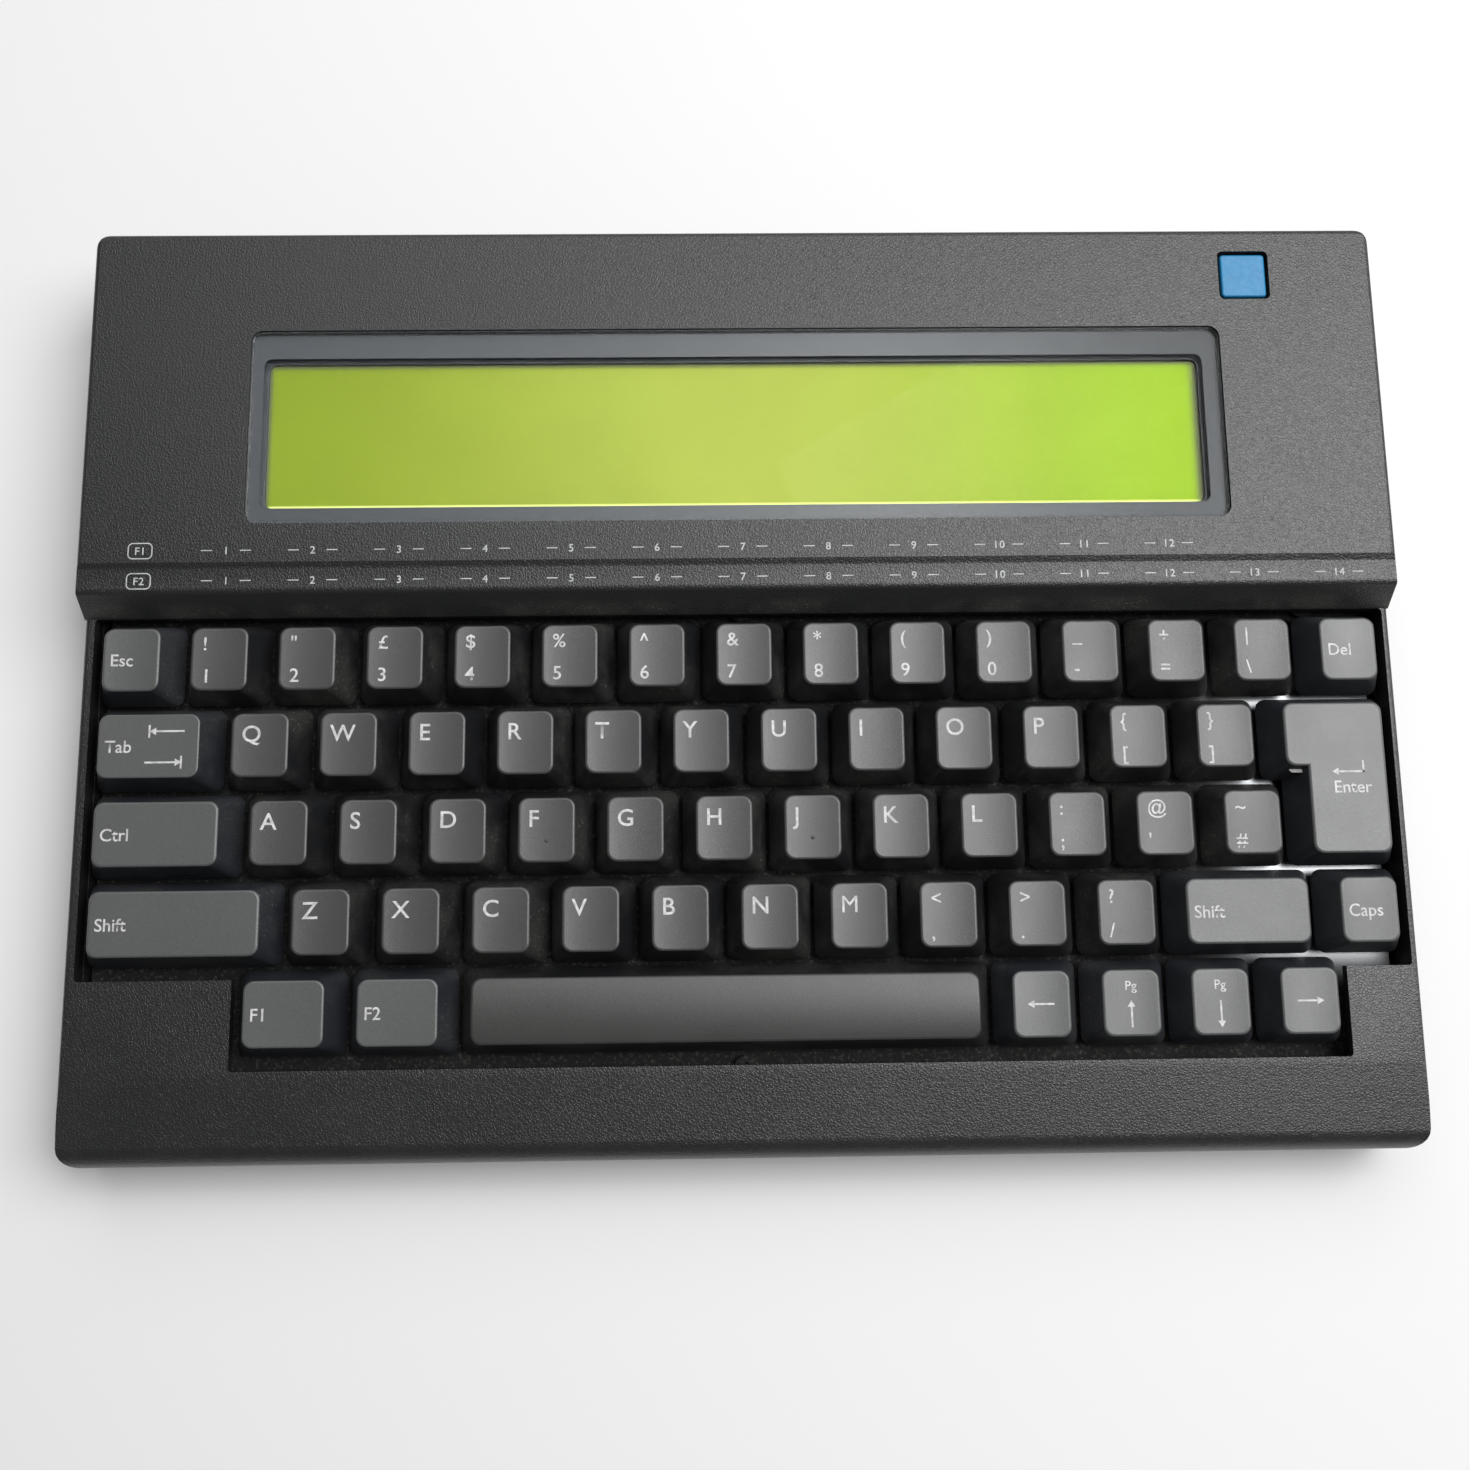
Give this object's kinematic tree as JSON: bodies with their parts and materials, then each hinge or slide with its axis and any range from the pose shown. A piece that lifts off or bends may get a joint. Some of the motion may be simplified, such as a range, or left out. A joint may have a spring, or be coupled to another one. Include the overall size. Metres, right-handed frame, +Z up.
{
  "type": "electronic word processor",
  "caption": "Flat portable word processor with a full-stroke keyboard in a well, a wide display in a raised deck, a power button, a battery cover and rear sockets.",
  "frame": {"origin": "centre of the footprint, on the surface that the feet stand on", "axes": "+X to the typist's right, +Y from the keyboard towards the display and the rear sockets, +Z up"},
  "size_m": [0.29, 0.206, 0.0268],
  "materials": {
    "case": "fine moulded texture, charcoal grey",
    "lower_case": "fine moulded texture, charcoal grey",
    "cover": "fine moulded texture, charcoal grey",
    "screw": "zinc-plated steel",
    "foot": "matte black rubber",
    "window": "clear flat acrylic",
    "display_frame": "blue-grey painted metal",
    "display": "yellow-green reflective display",
    "board": "green solder mask",
    "key_board": "brown phenolic board",
    "plate": "bare steel sheet",
    "switch": "black plastic",
    "wire": "bright spring wire",
    "dark_key": "dark grey keycap, worn satin",
    "grey_key": "mid grey keycap, worn satin",
    "space_key": "dark grey keycap, satin",
    "button": "blue plastic",
    "wheel": "black plastic",
    "cell": "plain foil-wrapped cell",
    "contact": "nickel-plated spring steel",
    "socket": "tinned steel shell"
  },
  "bodies": {
    "case": {"upper_case": "case", "lower_case": "lower_case", "screws": "screw", "rubber_feet": "foot", "display_window": "window", "display_frame": "display_frame", "display_glass": "display", "display_board": "board", "main_board": "board", "key_plate": "plate", "key_board": "key_board", "switch_housings": "switch", "power_switch": "switch", "battery_cells": "cell", "battery_contacts": "contact", "sockets": "socket"},
    "cover": {"battery_cover": "cover"},
    "button": {"power_button": "button"},
    "wheel": {"contrast_wheel": "wheel"},
    "space": {"space_bar": "space_key"},
    "wire": {"space_bar_wire": "wire"},
    "key_q_body": {"key_q": "dark_key"},
    "key_w_body": {"key_w": "dark_key"},
    "key_e_body": {"key_e": "dark_key"},
    "key_r_body": {"key_r": "dark_key"},
    "key_t_body": {"key_t": "dark_key"},
    "key_y_body": {"key_y": "dark_key"},
    "key_u_body": {"key_u": "dark_key"},
    "key_i_body": {"key_i": "dark_key"},
    "key_o_body": {"key_o": "dark_key"},
    "key_p_body": {"key_p": "dark_key"},
    "key_a_body": {"key_a": "dark_key"},
    "key_s_body": {"key_s": "dark_key"},
    "key_d_body": {"key_d": "dark_key"},
    "key_f_body": {"key_f": "dark_key"},
    "key_g_body": {"key_g": "dark_key"},
    "key_h_body": {"key_h": "dark_key"},
    "key_j_body": {"key_j": "dark_key"},
    "key_k_body": {"key_k": "dark_key"},
    "key_l_body": {"key_l": "dark_key"},
    "key_z_body": {"key_z": "dark_key"},
    "key_x_body": {"key_x": "dark_key"},
    "key_c_body": {"key_c": "dark_key"},
    "key_v_body": {"key_v": "dark_key"},
    "key_b_body": {"key_b": "dark_key"},
    "key_n_body": {"key_n": "dark_key"},
    "key_m_body": {"key_m": "dark_key"},
    "digit_keys_body": {"digit_keys": "dark_key"},
    "symbol_keys_body": {"symbol_keys": "dark_key"},
    "arrow_keys_body": {"arrow_keys": "grey_key"},
    "escape_key_body": {"escape_key": "grey_key"},
    "backspace_key_body": {"backspace_key": "grey_key"},
    "tab_key_body": {"tab_key": "grey_key"},
    "control_key_body": {"control_key": "grey_key"},
    "left_shift_key_body": {"left_shift_key": "grey_key"},
    "right_shift_key_body": {"right_shift_key": "grey_key"},
    "caps_lock_key_body": {"caps_lock_key": "grey_key"},
    "f1_key_body": {"f1_key": "grey_key"},
    "f2_key_body": {"f2_key": "grey_key"},
    "enter_key_body": {"enter_key": "grey_key"}
  },
  "joints": [
    {"name": "space_bar_press", "type": "slide", "parent": "case", "child": "space", "axis": [0, 0, 1], "range_m": [-0.003, 0], "stiffness_N_per_m": 260, "springref_m": 0.003},
    {"name": "space_bar_wire_turn", "type": "hinge", "parent": "case", "child": "wire", "pos_m": [-0.00436, -0.06552, 0.015], "axis": [1, 0, 0], "range_deg": [-2, 17.67]},
    {"name": "power_button_press", "type": "slide", "parent": "case", "child": "button", "axis": [0, 0, 1], "range_m": [-0.001, 0], "stiffness_N_per_m": 600, "springref_m": 0.001},
    {"name": "contrast_wheel_turn", "type": "hinge", "parent": "case", "child": "wheel", "pos_m": [-0.1362, 0.06, 0.0149], "axis": [0, 0, 1], "range_deg": [-135, 135]},
    {"name": "battery_cover_slide", "type": "slide", "parent": "case", "child": "cover", "axis": [0, 1, 0], "range_m": [0, 0.02]},
    {"name": "key_q_press", "type": "slide", "parent": "case", "child": "key_q_body", "axis": [0, 0, 1], "range_m": [-0.003, 0], "stiffness_N_per_m": 200, "springref_m": 0.003},
    {"name": "key_w_press", "type": "slide", "parent": "case", "child": "key_w_body", "axis": [0, 0, 1], "range_m": [-0.003, 0], "stiffness_N_per_m": 200, "springref_m": 0.003},
    {"name": "key_e_press", "type": "slide", "parent": "case", "child": "key_e_body", "axis": [0, 0, 1], "range_m": [-0.003, 0], "stiffness_N_per_m": 200, "springref_m": 0.003},
    {"name": "key_r_press", "type": "slide", "parent": "case", "child": "key_r_body", "axis": [0, 0, 1], "range_m": [-0.003, 0], "stiffness_N_per_m": 200, "springref_m": 0.003},
    {"name": "key_t_press", "type": "slide", "parent": "case", "child": "key_t_body", "axis": [0, 0, 1], "range_m": [-0.003, 0], "stiffness_N_per_m": 200, "springref_m": 0.003},
    {"name": "key_y_press", "type": "slide", "parent": "case", "child": "key_y_body", "axis": [0, 0, 1], "range_m": [-0.003, 0], "stiffness_N_per_m": 200, "springref_m": 0.003},
    {"name": "key_u_press", "type": "slide", "parent": "case", "child": "key_u_body", "axis": [0, 0, 1], "range_m": [-0.003, 0], "stiffness_N_per_m": 200, "springref_m": 0.003},
    {"name": "key_i_press", "type": "slide", "parent": "case", "child": "key_i_body", "axis": [0, 0, 1], "range_m": [-0.003, 0], "stiffness_N_per_m": 200, "springref_m": 0.003},
    {"name": "key_o_press", "type": "slide", "parent": "case", "child": "key_o_body", "axis": [0, 0, 1], "range_m": [-0.003, 0], "stiffness_N_per_m": 200, "springref_m": 0.003},
    {"name": "key_p_press", "type": "slide", "parent": "case", "child": "key_p_body", "axis": [0, 0, 1], "range_m": [-0.003, 0], "stiffness_N_per_m": 200, "springref_m": 0.003},
    {"name": "key_a_press", "type": "slide", "parent": "case", "child": "key_a_body", "axis": [0, 0, 1], "range_m": [-0.003, 0], "stiffness_N_per_m": 200, "springref_m": 0.003},
    {"name": "key_s_press", "type": "slide", "parent": "case", "child": "key_s_body", "axis": [0, 0, 1], "range_m": [-0.003, 0], "stiffness_N_per_m": 200, "springref_m": 0.003},
    {"name": "key_d_press", "type": "slide", "parent": "case", "child": "key_d_body", "axis": [0, 0, 1], "range_m": [-0.003, 0], "stiffness_N_per_m": 200, "springref_m": 0.003},
    {"name": "key_f_press", "type": "slide", "parent": "case", "child": "key_f_body", "axis": [0, 0, 1], "range_m": [-0.003, 0], "stiffness_N_per_m": 200, "springref_m": 0.003},
    {"name": "key_g_press", "type": "slide", "parent": "case", "child": "key_g_body", "axis": [0, 0, 1], "range_m": [-0.003, 0], "stiffness_N_per_m": 200, "springref_m": 0.003},
    {"name": "key_h_press", "type": "slide", "parent": "case", "child": "key_h_body", "axis": [0, 0, 1], "range_m": [-0.003, 0], "stiffness_N_per_m": 200, "springref_m": 0.003},
    {"name": "key_j_press", "type": "slide", "parent": "case", "child": "key_j_body", "axis": [0, 0, 1], "range_m": [-0.003, 0], "stiffness_N_per_m": 200, "springref_m": 0.003},
    {"name": "key_k_press", "type": "slide", "parent": "case", "child": "key_k_body", "axis": [0, 0, 1], "range_m": [-0.003, 0], "stiffness_N_per_m": 200, "springref_m": 0.003},
    {"name": "key_l_press", "type": "slide", "parent": "case", "child": "key_l_body", "axis": [0, 0, 1], "range_m": [-0.003, 0], "stiffness_N_per_m": 200, "springref_m": 0.003},
    {"name": "key_z_press", "type": "slide", "parent": "case", "child": "key_z_body", "axis": [0, 0, 1], "range_m": [-0.003, 0], "stiffness_N_per_m": 200, "springref_m": 0.003},
    {"name": "key_x_press", "type": "slide", "parent": "case", "child": "key_x_body", "axis": [0, 0, 1], "range_m": [-0.003, 0], "stiffness_N_per_m": 200, "springref_m": 0.003},
    {"name": "key_c_press", "type": "slide", "parent": "case", "child": "key_c_body", "axis": [0, 0, 1], "range_m": [-0.003, 0], "stiffness_N_per_m": 200, "springref_m": 0.003},
    {"name": "key_v_press", "type": "slide", "parent": "case", "child": "key_v_body", "axis": [0, 0, 1], "range_m": [-0.003, 0], "stiffness_N_per_m": 200, "springref_m": 0.003},
    {"name": "key_b_press", "type": "slide", "parent": "case", "child": "key_b_body", "axis": [0, 0, 1], "range_m": [-0.003, 0], "stiffness_N_per_m": 200, "springref_m": 0.003},
    {"name": "key_n_press", "type": "slide", "parent": "case", "child": "key_n_body", "axis": [0, 0, 1], "range_m": [-0.003, 0], "stiffness_N_per_m": 200, "springref_m": 0.003},
    {"name": "key_m_press", "type": "slide", "parent": "case", "child": "key_m_body", "axis": [0, 0, 1], "range_m": [-0.003, 0], "stiffness_N_per_m": 200, "springref_m": 0.003},
    {"name": "digit_keys_press", "type": "slide", "parent": "case", "child": "digit_keys_body", "axis": [0, 0, 1], "range_m": [-0.003, 0], "stiffness_N_per_m": 200, "springref_m": 0.003},
    {"name": "symbol_keys_press", "type": "slide", "parent": "case", "child": "symbol_keys_body", "axis": [0, 0, 1], "range_m": [-0.003, 0], "stiffness_N_per_m": 200, "springref_m": 0.003},
    {"name": "arrow_keys_press", "type": "slide", "parent": "case", "child": "arrow_keys_body", "axis": [0, 0, 1], "range_m": [-0.003, 0], "stiffness_N_per_m": 200, "springref_m": 0.003},
    {"name": "escape_key_press", "type": "slide", "parent": "case", "child": "escape_key_body", "axis": [0, 0, 1], "range_m": [-0.003, 0], "stiffness_N_per_m": 200, "springref_m": 0.003},
    {"name": "backspace_key_press", "type": "slide", "parent": "case", "child": "backspace_key_body", "axis": [0, 0, 1], "range_m": [-0.003, 0], "stiffness_N_per_m": 200, "springref_m": 0.003},
    {"name": "tab_key_press", "type": "slide", "parent": "case", "child": "tab_key_body", "axis": [0, 0, 1], "range_m": [-0.003, 0], "stiffness_N_per_m": 200, "springref_m": 0.003},
    {"name": "control_key_press", "type": "slide", "parent": "case", "child": "control_key_body", "axis": [0, 0, 1], "range_m": [-0.003, 0], "stiffness_N_per_m": 200, "springref_m": 0.003},
    {"name": "left_shift_key_press", "type": "slide", "parent": "case", "child": "left_shift_key_body", "axis": [0, 0, 1], "range_m": [-0.003, 0], "stiffness_N_per_m": 200, "springref_m": 0.003},
    {"name": "right_shift_key_press", "type": "slide", "parent": "case", "child": "right_shift_key_body", "axis": [0, 0, 1], "range_m": [-0.003, 0], "stiffness_N_per_m": 200, "springref_m": 0.003},
    {"name": "caps_lock_key_press", "type": "slide", "parent": "case", "child": "caps_lock_key_body", "axis": [0, 0, 1], "range_m": [-0.003, 0], "stiffness_N_per_m": 200, "springref_m": 0.003},
    {"name": "f1_key_press", "type": "slide", "parent": "case", "child": "f1_key_body", "axis": [0, 0, 1], "range_m": [-0.003, 0], "stiffness_N_per_m": 200, "springref_m": 0.003},
    {"name": "f2_key_press", "type": "slide", "parent": "case", "child": "f2_key_body", "axis": [0, 0, 1], "range_m": [-0.003, 0], "stiffness_N_per_m": 200, "springref_m": 0.003},
    {"name": "enter_key_press", "type": "slide", "parent": "case", "child": "enter_key_body", "axis": [0, 0, 1], "range_m": [-0.003, 0], "stiffness_N_per_m": 200, "springref_m": 0.003}
  ],
  "couplings": [
    {"joint": "space_bar_wire_turn", "follows": "space_bar_press", "rad_per_m": -91.193}
  ]
}
